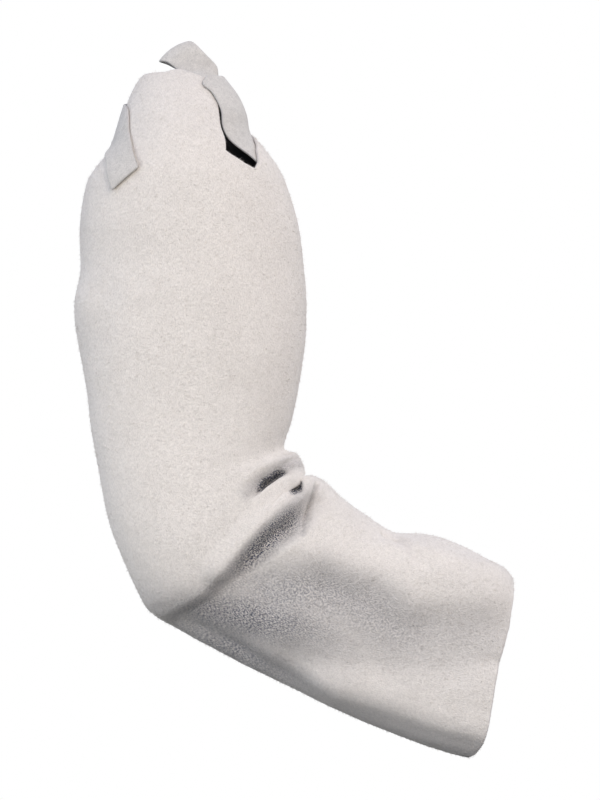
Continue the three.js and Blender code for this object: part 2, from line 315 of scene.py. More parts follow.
FRONT_STRAP = (
    Station(31, Face.FRONT, 60, 19, Face.FRONT, 56, OVER),
    Station(37.5, Face.FRONT, 53, 17, Face.FRONT, 49, OVER),
    Station(43.5, Face.FRONT, 45, 24.5, Face.FRONT, 41.5, OVER),
    Station(49.5, Face.FRONT, 29, 31.5, Face.FRONT, 27, OVER),
    Station(55, Face.FRONT, 17, 34.5, Face.FRONT, 14, -0.5),
    Station(59, Face.FRONT, 8, 42, Face.FRONT, 4, UNDER + 0.3),
    Station(64, Face.FRONT, 2, 57, Face.FRONT, -7, UNDER + 0.3),
    Station(64.5, Face.BACK, -2, 70, Face.FRONT, -17, UNDER + 0.3),
    Station(63.5, Face.BACK, -7, 78, Face.BACK, -25, UNDER),
)
SHOULDER_STRAP = (
    Station(14, Face.FRONT, 40, 34, Face.FRONT, 46, UNDER),
    Station(11, Face.FRONT, 51, 32, Face.FRONT, 57, UNDER - 0.9),
    Station(3, -2.5, 60, 26.5, 11, 68.5, 0),
    Station(-5, 3, 66, 17.5, 10, 78, 0.5),
    Station(-13, 7, 72.3, 8.5, 13, 87.5, 2),
    Station(-20.2, 17, 74.5, 3.5, 21, 91, 3),
    Station(-13, 38, 74.5, 6, 41, 91, 2),
    Station(-4, 58, 70, 13, 61, 82, 0),
    Station(-10, 71, 58, 9, 75, 64, 0),
    Station(-26, 68, 47, -6, 77, 43, 0),
    Station(-41, 56, 43, -25, 68, 27, 0),
    Station(-48.5, 34, 41, -49, 46, 15, 0),
    Station(-44, Face.BACK, 39, -54, Face.BACK, 10, OVER),
    Station(-42.5, Face.FRONT, 30, -57.5, Face.FRONT, -1, OVER),
    Station(-39.5, Face.FRONT, 8, -57, Face.FRONT, -14, OVER),
    Station(-31, Face.FRONT, -20.5, -50.5, Face.FRONT, -36.5, OVER + 1.4),
)


def linear(colour: str) -> tuple[float, float, float, float]:
    """Turns an sRGB hex colour into a linear one.

    Args:
        colour: Six hex digits after a hash sign.

    Returns:
        Linear red, green, blue and an alpha of 1.
    """
    shares = [int(colour[k : k + 2], 16) / 255 for k in (1, 3, 5)]
    red, green, blue = (s / 12.92 if s <= 0.04045 else ((s + 0.055) / 1.055) ** 2.4 for s in shares)
    return red, green, blue, 1.0


def add_node(
    tree: bpy.types.NodeTree, kind: str, inputs: dict[str | int, Any] | None = None, **settings: Any
) -> bpy.types.NodeOutputs:
    """Adds a node with its settings, values and links.

    Args:
        tree: Node tree that takes the node.
        kind: Blender's class of the node, without the word ShaderNode before it.
        inputs: Values, or output sockets to link from, by input name or number.
        settings: Properties of the node.

    Returns:
        The outputs of the new node.
    """
    node = tree.nodes.new(f"ShaderNode{kind}")
    for name, value in settings.items():
        setattr(node, name, value)
    for name, value in (inputs or {}).items():
        if isinstance(value, bpy.types.NodeSocket):
            tree.links.new(value, node.inputs[name])
        else:
            node.inputs[name].default_value = value
    return node.outputs


def smooth(value: Array) -> Array:
    """Returns a soft step from 0 to 1 for values from 0 to 1."""
    t = np.clip(value, 0.0, 1.0)
    return t * t * (3.0 - 2.0 * t)


def unit(vectors: Array) -> Array:
    """Returns the vectors at length 1."""
    return vectors / np.maximum(np.linalg.norm(vectors, axis=-1, keepdims=True), 1e-9)


def length_along(points: Array) -> Array:
    """Returns the distance of each point from the first one, along their line."""
    return np.concatenate([[0.0], np.cumsum(np.linalg.norm(np.diff(points, axis=0), axis=1))])


def width_at(line: Fold | ShadeLine, side: Array) -> Array:
    """Returns the width on a side of a line, from -1 straight below it to 1 straight above."""
    return (line.above + line.below + side * (line.above - line.below)) / 2


def read(table: Sequence[Sequence[float]], at: Array, column: int = 1) -> Array:
    """Returns a column of a table, read straight between its rows at places in its first column."""
    rows = np.array(table, float)
    return np.interp(at, rows[:, 0], rows[:, column])


def quad_corners(grid: Array, winding: Winding) -> Array:
    """Finds the values at the corners of each quad of a grid.

    Args:
        grid: Values by row and column.
        winding: Order of the corners.

    Returns:
        Four values for each quad.
    """
    rows, columns = grid.shape[0] - 1, grid.shape[1] - 1
    corners = [grid[row : row + rows, column : column + columns] for row, column in winding.value]
    return np.stack(corners, axis=2).reshape(rows * columns, len(corners), *grid.shape[2:])


def spline(rows: Array, at: Array) -> Array:
    """Reads a table between its rows on a smooth curve.

    Args:
        rows: Table with one row for each knot.
        at: Row numbers with fractions.

    Returns:
        One row for each place.
    """
    last = len(rows) - 1
    knot = np.clip(np.floor(at).astype(int), 0, last - 1)
    u = (at - knot)[:, None]
    before, here, there, after = (rows[np.clip(knot + k, 0, last)] for k in (-1, 0, 1, 2))
    rise = there - before
    bend = 2 * before - 5 * here + 4 * there - after
    twist = -before + 3 * here - 3 * there + after
    return here + 0.5 * (rise * u + bend * u**2 + twist * u**3)


def blank_material(name: str) -> bpy.types.Material:
    """Makes a material without nodes.

    Args:
        name: Name of the material.

    Returns:
        The new material, with an empty node tree.
    """
    made = bpy.data.materials.new(name)
    made.use_nodes = True
    made.node_tree.nodes.clear()
    return made


@dataclass(frozen=True)
class Suede:
    """Split leather with a nap: sanded fibres that scatter light, so no gloss and a soft rim of light."""

    name: str
    # The gap colour is painted shade between the fibre clumps, and the last colour is painted shade for
    # creases and hollows
    lit: str
    patch: str
    gap: str
    painted_shade: str
    # Fibre bundles lie along the run of the leather. Single fibres are far too fine to show in the
    # render, so bundles and clumps are drawn as coarse as they need to show.
    fibre_wide_mm: float = 0.8
    fibre_long_mm: float = 1.8
    # Clumps of nap, and patches where the nap was brushed another way
    clump_mm: float = 2.8
    patch_mm: float = 38.0
    nap_depth_mm: float = 0.45
    gap_share: float = 0.62
    roughness: float = 0.95
    sheen: float = 0.25
    # Height of the clumps beside that of the fibres
    clump_weight: float = 0.8
    # Noise over which patches set in, gaps close up and fibres let go of the painted shade
    patch_range: tuple[float, float] = (0.35, 0.68)
    gap_range: tuple[float, float] = (0.55, 1.2)
    hold_range: tuple[float, float] = (0.43, 0.55)
    # Light painted shade lies evenly with this strength, and over this range of its share it gathers in
    # flecks
    even_shade: float = 0.55
    fleck_range: tuple[float, float] = (0.3, 1.2)

    def material(self) -> bpy.types.Material:
        """Makes the finish.

        Returns:
            The new material.
        """
        made = blank_material(self.name)
        add = partial(add_node, made.node_tree)
        place = add("TexCoord")["Object"]
        run = add("UVMap", uv_map=NAP_RUN)["UV"]
        stretch = (1 / (self.fibre_wide_mm * MM), 1 / (self.fibre_long_mm * MM), 1.0)
        along = add("Mapping", {"Vector": run, "Scale": stretch})["Vector"]
        flat = {"Vector": along, "Scale": 1.0, "Detail": 3.0, "Roughness": 0.6}
        fibres = add("TexNoise", flat, noise_dimensions="2D")["Fac"]
        scale = 1 / (self.clump_mm * MM)
        clumps = add("TexNoise", {"Vector": place, "Scale": scale, "Detail": 4.0, "Roughness": 0.65})["Fac"]
        scale = 1 / (self.patch_mm * MM)
        patches = add("TexNoise", {"Vector": place, "Scale": scale, "Detail": 2.0, "Distortion": 0.4})["Fac"]
        low, high = self.patch_range
        span = {"Value": patches, "From Min": low, "From Max": high}
        patch_share = add("MapRange", span, interpolation_type="SMOOTHSTEP")["Result"]
        shades = {0: patch_share, 6: linear(self.lit), 7: linear(self.patch)}
        ground = add("Mix", shades, data_type="RGBA")[2]
        sums = {0: clumps, 1: self.clump_weight, 2: fibres}
        height = add("Math", sums, operation="MULTIPLY_ADD")["Value"]
        # Painted shade between the fibres: low nap takes the darker gap colour
        low, high = self.gap_range
        span = {"Value": height, "From Min": low, "From Max": high, "To Min": self.gap_share, "To Max": 0.0}
        gaps = add("MapRange", span)["Result"]
        clean = add("Mix", {0: gaps, 6: ground, 7: linear(self.gap)}, data_type="RGBA")[2]
        # Painted shade in creases and hollows: a dark bluish colour, in flecks where its share is high
        crease = add("Attribute", attribute_name=CREASE_SHADE)["Fac"]
        low, high = self.hold_range
        span = {"Value": fibres, "From Min": low, "From Max": high, "To Min": 1.0, "To Max": 0.0}
        hold = add("MapRange", span)["Result"]
        low, high = self.fleck_range
        span = {"Value": crease, "From Min": low, "From Max": high, "To Min": self.even_shade, "To Max": hold}
        flecked = add("MapRange", span)["Result"]
        shade_share = add("Math", {0: crease, 1: flecked}, operation="MULTIPLY", use_clamp=True)["Value"]
        colour = add("Mix", {0: shade_share, 6: clean, 7: linear(self.painted_shade)}, data_type="RGBA")[2]
        depth = self.nap_depth_mm * MM
        standing = add("Math", {0: crease, 1: depth, 2: depth}, operation="MULTIPLY_ADD")["Value"]
        bump = add("Bump", {"Strength": 1.0, "Distance": standing, "Height": height})["Normal"]
        leather = {
            "Base Color": colour,
            "Normal": bump,
            "Roughness": self.roughness,
            "IOR": 1.45,
            "Specular IOR Level": 0.2,
            "Sheen Weight": self.sheen,
            "Sheen Roughness": 0.6,
            "Sheen Tint": linear(self.lit),
        }
        add("OutputMaterial", {"Surface": add("BsdfPrincipled", leather)["BSDF"]})
        return made


@dataclass(frozen=True)
class Thread:
    """Twisted polyester sewing thread: two plies that show as slanted ribs with a slight gloss."""

    name: str
    lit: str
    gap: str
    ply_mm: float = 0.45
    ply_depth_mm: float = 0.1

    def material(self) -> bpy.types.Material:
        """Makes the finish.

        Returns:
            The new material.
        """
        made = blank_material(self.name)
        add = partial(add_node, made.node_tree)
        scale = 1 / (self.ply_mm * MM * math.tau)
        ribs = {"Vector": add("TexCoord")["Object"], "Scale": scale, "Distortion": 0.6}
        plies = add("TexWave", ribs, bands_direction="DIAGONAL")["Fac"]
        # Painted shade in the grooves between the plies: they take the darker gap colour
        colour = add("Mix", {0: plies, 6: linear(self.gap), 7: linear(self.lit)}, data_type="RGBA")[2]
        depth = self.ply_depth_mm * MM
        bump = add("Bump", {"Strength": 0.6, "Distance": depth, "Height": plies})["Normal"]
        thread = {"Base Color": colour, "Normal": bump, "Roughness": 0.6, "IOR": 1.5}
        add("OutputMaterial", {"Surface": add("BsdfPrincipled", thread)["BSDF"]})
        return made


@dataclass(frozen=True)
class FloorPaint:
    """Matt white floor paint: an even pale ground with a faint rolled mottle."""

    name: str = "matt_white_floor_paint"
    lit: str = "#f2f1ef"
    patch: str = "#ebeae8"
    mottle_mm: float = 60.0

    def material(self) -> bpy.types.Material:
        """Makes the finish.

        Returns:
            The new material.
        """
        made = blank_material(self.name)
        add = partial(add_node, made.node_tree)
        rolled = {"Vector": add("TexCoord")["Object"], "Scale": 1 / (self.mottle_mm * MM)}
        mottle = add("TexNoise", rolled)["Fac"]
        colour = add("Mix", {0: mottle, 6: linear(self.lit), 7: linear(self.patch)}, data_type="RGBA")[2]
        paint = {"Base Color": colour, "Roughness": 0.9, "Specular IOR Level": 0.1}
        add("OutputMaterial", {"Surface": add("BsdfPrincipled", paint)["BSDF"]})
        return made


# Outer face of the sleeve: pale and napped, with painted shade in the gaps between the fibres and bluish
# painted shade in creases
SLEEVE_NAP = Suede("napped_split_leather", "#f6f0e9", "#f2ece5", "#bcb7b1", "#343f59")
# Inner face: painted dark as the shade inside the hollow, with hardly any rim of light
SLEEVE_INSIDE = Suede(
    "inner_face_of_split_leather_painted_dark", "#5f5d5c", "#545352", "#3a393b", "#2c2b2d", sheen=0.05
)
# Cut edges: raw pale fibre across the thickness of the leather
SLEEVE_EDGE = Suede(
    "raw_cut_edge_of_split_leather", "#f3eeea", "#ebe6e2", "#bab5b2", "#8c8988",
    fibre_wide_mm=0.5, fibre_long_mm=0.5, clump_mm=2.0,
)
# Straps: darker and greyer than the sleeve, with a finer and shorter nap
STRAP_NAP = Suede(
    "smooth_split_strap_leather", "#e4e0da", "#dedad4", "#b0ada9", "#7c7b7c",
    fibre_wide_mm=0.7, fibre_long_mm=1.4, clump_mm=4.0, patch_mm=26.0, nap_depth_mm=0.4, gap_share=0.8,
)
# Cut edges of the straps: raw fibre, greyer than the sleeve's
STRAP_EDGE = Suede(
    "raw_cut_edge_of_strap", "#dad7d3", "#d2cfcb", "#a8a5a2", "#8c8a89",
    fibre_wide_mm=0.5, fibre_long_mm=0.5, clump_mm=2.0,
)
# Thread of the seam: pale, with ribs that break up its slight gloss
SEAM_THREAD = Thread("pale_polyester_thread", "#e9e4dc", "#bdb7ae")


class ArmForm:
    """Smooth form of the sleeve without folds, in millimetres."""

    # Heights in the finer list, and how many sections away a direction looks to both sides
    LEVELS: int = 1800
    REACH: float = 0.05

    def __init__(self) -> None:
        """Keeps the sections as an array, with a finer list of the shoulder's heights."""
        self.table = np.array(SECTIONS, float)[:, :7]
        self.last = len(SECTIONS) - 1
        self.level = np.linspace(0, RIM_SECTION, self.LEVELS)
        self.heights = spline(self.table, self.level)[:, 1]

    def along_at(self, z: Array) -> Array:
        """Returns the section numbers of level sections at heights z."""
        return np.interp(-z, -self.heights, self.level)

    def point(self, along: Array, angle: Array) -> Array:
        """Finds points of the smooth sleeve.

        Args:
            along: Section numbers with fractions.
            angle: Angles in degrees.

        Returns:
            One point for each pair.
        """
        outer_x, outer_z, inner_x, inner_z, front, back, roundness = spline(self.table, along).T
        across, facing = np.cos(np.radians(angle)), np.sin(np.radians(angle))
        inward = np.sign(across) * np.abs(across) ** roundness / 2
        facing = np.sign(facing) * np.abs(facing) ** roundness
        x = (outer_x + inner_x) / 2 + inward * (inner_x - outer_x)
        y = (front + back) / 2 + facing * (back - front) / 2
        z = (outer_z + inner_z) / 2 + inward * (inner_z - outer_z)
        return np.stack([x, y, z], axis=1)

    def normal(self, along: Array, angle: Array) -> Array:
        """Finds the outward directions of the smooth sleeve.

        Args:
            along: Section numbers with fractions.
            angle: Angles in degrees.

        Returns:
            One direction for each pair.
        """
        before = self.point(np.maximum(0, along - self.REACH), angle)
        after = self.point(along + self.REACH, angle)
        turn = self.point(along, angle + 1) - self.point(along, angle - 1)
        return unit(np.cross(turn, before - after))

    def angle_at(self, points: Array) -> Array:
        """Finds the angles of points round the shoulder.

        Args:
            points: Points on or near the shoulder.

        Returns:
            One angle in degrees for each point.
        """
        outer_x, _, inner_x, _, front, back, _ = spline(self.table, self.along_at(points[:, 2])).T
        x = (2 * points[:, 0] - inner_x - outer_x) / (inner_x - outer_x)
        y = (2 * points[:, 1] - front - back) / (back - front)
        return np.degrees(np.arctan2(y, x))

    def shoulder_point(self, z: Array, angle: Array, lift: Array) -> Array:
        """Finds points over the shoulder.

        Args:
            z: Heights.
            angle: Angles in degrees.
            lift: Heights over the smooth sleeve.

        Returns:
            One point for each triple.
        """
        along = self.along_at(z)
        return self.point(along, angle) + self.normal(along, angle) * lift[:, None]

    def on_face(self, x: float, face: Face, z: float) -> Array:
        """Finds a point of the shoulder's front or back face.

        Args:
            x: Its place across the front view.
            face: The face that it is on.
            z: Its height.

        Returns:
            The point.
        """
        height = np.array([z], float)
        outer_x, _, inner_x, _, _, _, _ = spline(self.table, self.along_at(height))[0]
        across = np.clip((2 * x - inner_x - outer_x) / (inner_x - outer_x), -1, 1)
        angle = np.degrees(np.arccos(across)) * face.value
        return self.shoulder_point(height, np.array([angle]), np.zeros(1))[0]


@dataclass
class LeatherNet:
    """Outer face of a leather piece as a net of quads, in millimetres."""

    points: Array
    quads: Array
    # Place of each quad corner across and along the leather
    run: Array
    # Share of painted shade at each point, over 1 where its flecks close up
    painted_shade: Array
    # Added to the outward direction at each point, so that the wall follows the smooth form and goes
    # straight back in pleats
    lean: Array

    def normals(self, rounds: int = 0) -> Array:
        """Finds the outward direction at each point.

        Args:
            rounds: How often the directions are evened out with their neighbours.

        Returns:
            One direction for each point.
        """
        a, b, c, d = (self.points[self.quads[:, k]] for k in range(4))
        face = np.cross(c - a, d - b)
        found = self.gather(face)
        for _ in range(rounds):
            found = self.gather(unit(found)[self.quads].mean(axis=1))
        return unit(found)

    def gather(self, values: Array) -> Array:
        """Sums the values of the quads at each point.

        Args:
            values: One row for each quad.

        Returns:
            One row for each point.
        """
        total = np.zeros((len(self.points), values.shape[1]))
        for k in range(4):
            np.add.at(total, self.quads[:, k], values)
        return total

    def free_edges(self) -> Array:
        """Finds the edges that have one quad only.

        Returns:
            Their pairs of points, in the order of the quad.
        """
        pairs = np.concatenate([self.quads[:, [k, (k + 1) % 4]] for k in range(4)])
        count = len(self.points)
        codes = pairs[:, 0] * count + pairs[:, 1]
        turned = pairs[:, 1] * count + pairs[:, 0]
        return pairs[~np.isin(codes, turned)]


@dataclass
class LeatherPiece:
    """One closed leather wall: outer face, inner face and rounded cut edges."""

    name: str
    wall: float
    finishes: tuple[Suede, Suede, Suede]
    slot: Slot
    edge_steps: int = 4
    edge_bulge: float = 0.45
    evening: int = 6
    obj: bpy.types.Object = field(init=False)
    net: LeatherNet = field(init=False)

    def make(self, net: LeatherNet) -> None:
        """Makes the piece from the net of its outer face.

        Args:
            net: Outer face, with quads that face outwards.
        """
        self.net = net
        count = len(net.points)
        outward = unit(net.normals(self.evening) + net.lean)
        inner = net.points - outward * self.wall
        edges = net.free_edges()
        edge_points = np.unique(edges[:, 0])
        place = np.full(count, -1)
        place[edge_points] = np.arange(len(edge_points))
        along = net.points[edges[:, 1]] - net.points[edges[:, 0]]
        out = np.zeros((count, 3))
        for end in range(2):
            np.add.at(out, edges[:, end], np.cross(along, outward[edges[:, end]]))
        out = unit(out[edge_points])
        middle = (net.points[edge_points] + inner[edge_points]) / 2
        points = [net.points, inner]
        for step in range(1, self.edge_steps):
            turn = math.pi * step / self.edge_steps
            rise = outward[edge_points] * (math.cos(turn) * self.wall / 2)
            points.append(middle + rise + out * (math.sin(turn) * self.wall * self.edge_bulge))

        def ring(step: int, which: Array) -> Array:
            """Finds edge points on one ring of the rounded edge.

            Args:
                step: Number of the ring, from the outer to the inner face.
                which: Their numbers on the outer face.

            Returns:
                Their numbers on the ring.
            """
            if step == 0:
                return which
            if step == self.edge_steps:
                return which + count
            return 2 * count + (step - 1) * len(edge_points) + place[which]

        faces = [net.quads, net.quads[:, ::-1] + count]
        runs = [net.run, net.run[:, ::-1]]
        start, end = edges[:, 0], edges[:, 1]
        edge_run = self.edge_run(edges)
        for step in range(self.edge_steps):
            corners = [ring(step, end), ring(step, start), ring(step + 1, start), ring(step + 1, end)]
            faces.append(np.stack(corners, axis=1))
            across = np.array([0, 0, 1, 1]) * self.wall / self.edge_steps + step
            runs.append(edge_run + across[None, :, None])
        painted_shade = [net.painted_shade, net.painted_shade, np.tile(net.painted_shade[edge_points], self.edge_steps - 1)]
        layers = [np.full(len(net.quads), Layer.OUTER), np.full(len(net.quads), Layer.INNER)]
        layers.append(np.full(self.edge_steps * len(edges), Layer.EDGE))
        parts = (points, faces, runs, layers, painted_shade)
        self.obj = mesh_object(f"{self.name}_leather", *(np.concatenate(part) for part in parts))

    def edge_run(self, edges: Array) -> Array:
        """Finds the places along the free edges.

        Args:
            edges: Pairs of points.

        Returns:
            A place for each of the four corners of the rim quads.
        """
        start = self.net.points[edges[:, 0]]
        end = self.net.points[edges[:, 1]]
        return np.stack([end[:, [0, 2]], start[:, [0, 2]], start[:, [0, 2]], end[:, [0, 2]]], axis=1)

    def dress(self) -> None:
        """Gives the piece its finishes and its place in the frame."""
        for finish in self.finishes:
            self.obj.data.materials.append(finish.material())
        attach(self.obj, BODY)
        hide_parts(self.name)


def add_object(name: str, data: bpy.types.ID) -> bpy.types.Object:
    """Adds an object to the scene.

    Args:
        name: Name of the object.
        data: Its mesh, light or camera.

    Returns:
        The new object.
    """
    obj = bpy.data.objects.new(name, data)
    bpy.context.scene.collection.objects.link(obj)
    return obj


def mesh_object(
    name: str, points: Array, faces: Array, run: Array, layers: Array, painted_shade: Array
) -> bpy.types.Object:
    """Makes a smooth mesh object from arrays.

    Args:
        name: Name of the object and its mesh.
        points: Points in millimetres.
        faces: Point numbers of quads or triangles.
        run: Place of each face corner across and along the leather, in millimetres.
        layers: Material slot of each face.
        painted_shade: Share of painted shade at each point.

    Returns:
        The new object, in the scene.
    """
    mesh = bpy.data.meshes.new(name)
    mesh.from_pydata((points * MM).tolist(), [], faces.tolist())
    mesh.update()
    layer = mesh.uv_layers.new(name=NAP_RUN)
    layer.data.foreach_set("uv", (run * MM).astype(np.float32).ravel())
    crease = mesh.attributes.new(CREASE_SHADE, "FLOAT", "POINT")
    crease.data.foreach_set("value", painted_shade.astype(np.float32))
    mesh.polygons.foreach_set("material_index", layers.astype(np.int32))
    mesh.polygons.foreach_set("use_smooth", np.ones(len(faces), bool))
    return add_object(name, mesh)


def ripple(points: Array, wave_mm: float, seed: float) -> Array:
    """Returns a soft uneven lift from -1 to 1 at each point, with waves of about the given length."""
    shift = Vector((seed, -seed, 2 * seed))
    return np.array([noise.noise(Vector(p) / wave_mm + shift) for p in points])


@dataclass
class Sleeve:
    """Hollow leather tube, bent at the elbow, with the tongue that rises in front of the armhole."""

    form: ArmForm
    bands: tuple[Band, ...] = (
        Band(-150, -62, 48),
        Band(-62, 0, 42),
        Band(0, 148, 36),
        Band(148, 149, 1),
        Band(149, 165, 6),
        Band(165, 210, 14),
    )
    rim_rows: int = 26
    tongue_rows: int = 26
    tongue_base: float = -6.0
    # Folds die out towards the sides of the arm, painted shade reaches further round, and a lip that hangs
    # over dies out over this many of its widths
    fold_edge: float = 0.4
    shade_wrap: float = 0.6
    lip_fade: float = 1.5
    # Sections over which the stray of the cuff's edge dies out, and the mean step between them
    cuff_sections: float = 2.5
    cuff_step: float = 12.7
    # How far fold lines stray from their tables, and over which length
    stray: float = 3.0
    stray_wave: float = 34.0
    stray_seeds: tuple[float, float] = (17.3, 29.1)
    # Lap seam along the hidden back: the upper layer stands over the lower one from its edge on
    seam_angle: float = 149.0
    seam_slack: float = 0.01
    seam_step: float = 1.3
    seam_fade: float = 16.0
    girth: float = 460.0
    # Unevenness of the hide: wave length and height
    waves: tuple[tuple[float, float], ...] = ((70.0, 0.9), (26.0, 0.4), (9.0, 0.16))
    wave_seed: float = 3.7
    # The hide is even above this height, and fully uneven this much further down
    calm_height: float = -40.0
    calm_fade: float = 30.0
    # Painted shade in pleats starts where the leather sinks in this far and is full after this much more; it
    # is then far over 1, so that the bottom is painted dark with no pale nap
    shade_from: float = 4.0
    shade_depth: float = 10.0
    pleat_shade: float = 6.0
    # How strongly the wall follows the smooth form, and each mm of a pleat's depth
    wall_lean: float = 3.0
    pleat_lean: float = 1.0
    flat_wide: float = 0.47
    flat_long: float = 0.7
    flat_area: float = 0.245
    piece: LeatherPiece = field(init=False)

    def angles(self) -> Array:
        """Returns the angles of the mesh columns."""
        spans = [np.linspace(b.start, b.end, b.columns, endpoint=False) for b in self.bands]
        return np.concatenate(spans)

    def folded(self, points: Array, angle: Array) -> tuple[Array, Array, Array]:
        """Finds how far the folds lift and shift the leather.

        Args:
            points: Points of the smooth sleeve.
            angle: Their angles in degrees.

        Returns:
            One lift for each point, minus where the leather sinks in, one shift and one share of painted
            shade.
        """
        facing = np.sin(np.radians(angle))
        lifts = np.zeros(len(points))
        painted_shade = np.zeros(len(points))
        shifts = np.zeros((len(points), 3))
        stray = [self.stray * ripple(points, self.stray_wave, seed) for seed in self.stray_seeds]
        flat = points[:, [0, 2]] + np.stack(stray, axis=1)
        for shade_line in SHADE_LINES:
            distance, side, share, _ = self.nearest(shade_line.line, flat)
            shown = smooth(self.shade_wrap + facing * Face.FRONT.value / self.fold_edge)
            fade = smooth(distance / width_at(shade_line, side))
            painted_shade = np.maximum(painted_shade, share * (1 - fade) * shown)
        for fold in FOLDS:
            sharp = fold.profile is Profile.SHARP
            distance, side, lift, upward = self.nearest(fold.line, points[:, [0, 2]] if sharp else flat)
            shown = smooth(facing * fold.face.value / self.fold_edge)
            fade = np.clip(distance / width_at(fold, side), 0, 1)
            if sharp:
                sunk = lift * (1 - fade) ** 2 * shown
                shifts[:, 1] += fold.face.value * sunk
                # Painted shade at the bottom of deep pleats
                painted_shade = np.maximum(painted_shade, self.pleat_shade * smooth((-sunk - self.shade_from) / self.shade_depth))
            else:
                lifts += lift * (1 - smooth(fade)) * shown
            if fold.hang:
                reach = distance / (fold.above if fold.hang > 0 else fold.below)
                lip = smooth(np.sign(fold.hang) * side * reach) * (1 - smooth((reach - 1) / self.lip_fade))
                deepest = max(abs(point[2]) for point in fold.line)
                shift = fold.hang * lip * shown * np.abs(lift) / deepest
                shifts[:, [0, 2]] -= upward * shift[:, None]
        return lifts, shifts, painted_shade

    def nearest(
        self, line: tuple[tuple[float, float, float], ...], flat: Array
    ) -> tuple[Array, Array, Array, Array]:
        """Finds the nearest place on a bent line.

        Args:
            line: X, z and a value at each point.
            flat: X and z of points.

        Returns:
            For each point the distance, the side from -1 straight below the line to 1 straight
            above it, the value there and the direction across the line.
        """
        best = np.full(len(flat), np.inf)
        side, lift = np.zeros(len(flat)), np.zeros(len(flat))
        across = np.zeros((len(flat), 2))
        for start, end in zip(np.array(line, float), np.array(line[1:], float)):
            run = end[:2] - start[:2]
            share = np.clip((flat - start[:2]) @ run / (run @ run), 0, 1)
            away = flat - start[:2] - share[:, None] * run
            distance = np.linalg.norm(away, axis=1)
            upward = unit(np.array([-run[1], run[0]]) * np.sign(run[0]))
            near = distance < best
            best[near] = distance[near]
            side[near] = (away @ upward / np.maximum(distance, 1e-6))[near]
            lift[near] = (start[2] + share * (end[2] - start[2]))[near]
            across[near] = upward
        return best, side, lift, across

    def cuff_stray(self, along: Array, angle: Array) -> Array:
        """Finds how far the leather strays along the arm near the cuff.

        Args:
            along: Section numbers with fractions.
            angle: Angles in degrees.

        Returns:
            One stray in sections for each pair.
        """
        across = np.cos(np.radians(angle))
        share = (1 + np.sign(across) * np.abs(across) ** SECTIONS[-1].roundness) / 2
        stray = read(CUFF_EDGE, share) / self.cuff_step
        return stray * smooth((along - self.form.last) / self.cuff_sections + 1)

    def seam_lift(self, angle: Array) -> Array:
        """Returns how far the lap of the seam lifts the leather at each angle."""
        past = (angle - self.seam_angle) * self.girth / 360
        return np.where(past >= -self.seam_slack, self.seam_step * (1 - smooth(past / self.seam_fade)), 0.0)

    def skin(self, along: Array, angle: Array) -> tuple[Array, Array, Array]:
        """Finds points of the outer face.

        Args:
            along: Section numbers with fractions.
            angle: Angles in degrees.

        Returns:
            One point for each pair, its share of painted shade and the lean of the wall there.
        """
        along = along + self.cuff_stray(along, angle)
        points = self.form.point(along, angle)
        lift, shift, painted_shade = self.folded(points, angle)
        lift = lift + self.seam_lift(angle)
        calm = smooth((self.calm_height - points[:, 2]) / self.calm_fade)
        for number, (wave, height) in enumerate(self.waves):
            lift += calm * height * ripple(points, wave, self.wave_seed * (number + 1))
        outward = self.form.normal(along, angle)
        lean = self.wall_lean * outward - self.pleat_lean * shift
        return points + shift + outward * lift[:, None], painted_shade, lean

    def build(self) -> None:
        """Makes the wall of the sleeve from rows of columns, with the tongue above them."""
        angles = self.angles()
        around = len(angles)
        tongue_columns = self.bands[0].columns
        rim_base = SECTIONS[RIM_SECTION].outer_z
        top = read(RIM, angles)
        top[: tongue_columns + 1] = self.tongue_base
        rows = []
        for row in range(self.rim_rows):
            z = top + (rim_base - top) * row / self.rim_rows
            rows.append(self.form.along_at(z))
        for number, section in enumerate(SECTIONS[RIM_SECTION:]):
            for step in range(section.rows):
                rows.append(np.full(around, RIM_SECTION + number + step / section.rows))
        rows.append(np.full(around, self.form.last))
        points, painted_shade, lean = self.skin(np.concatenate(rows), np.tile(angles, len(rows)))
        grid = np.arange(len(points)).reshape(len(rows), around)
        quads = quad_corners(np.append(grid, grid[:, :1], axis=1), Winding.DOWN)

        front = points.reshape(len(rows), around, 3)[:, tongue_columns // 2]
        across = np.append(angles, angles[0] + 360) * self.girth / 360
        places = np.stack(np.meshgrid(across, length_along(front)), axis=-1)
        run = quad_corners(places, Winding.DOWN)

        tongue = self.tongue(angles[: tongue_columns + 1], len(points))
        self.piece = LeatherPiece(
            "sleeve", SLEEVE_WALL, (SLEEVE_NAP, SLEEVE_INSIDE, SLEEVE_EDGE), Slot.SLEEVE
        )
        tube = (points, quads, run, painted_shade, lean)
        above = (tongue.points, tongue.quads, tongue.run, tongue.painted_shade, tongue.lean)
        self.piece.make(LeatherNet(*(np.concatenate(pair) for pair in zip(tube, above))))

    def tongue(self, angles: Array, count: int) -> LeatherNet:
        """Makes the net of the tongue.

        Args:
            angles: Angles of the columns that it rises from.
            count: Number of points in the net so far.

        Returns:
            Its own points, with quads that also use the points below it.
        """
        u = np.linspace(0, 1, len(angles))
        rise = read(TONGUE_TOP, u) - self.tongue_base
        points = []
        for row in range(1, self.tongue_rows + 1):
            z = self.tongue_base + rise * row / self.tongue_rows
            left, right = read(TONGUE_EDGES, z, 1), read(TONGUE_EDGES, z, 2)
            points.append(self.skin(self.form.along_at(z), left + (right - left) * u)[0])
        numbers = np.arange(len(angles) * self.tongue_rows).reshape(self.tongue_rows, -1) + count
        grid = np.concatenate([np.arange(len(angles))[None, :], numbers])
        quads = quad_corners(grid, Winding.UP)
        up = -np.arange(self.tongue_rows + 1) * rise.max() / self.tongue_rows
        places = np.stack(np.meshgrid(angles * self.girth / 360, up), axis=-1)
        run = quad_corners(places, Winding.UP)
        none = np.zeros((numbers.size, 3))
        return LeatherNet(np.concatenate(points), quads, run, none[:, 0], none)

    def dress(self) -> None:
        """Finishes the sleeve and gives it its place in the frame."""
        self.piece.dress()


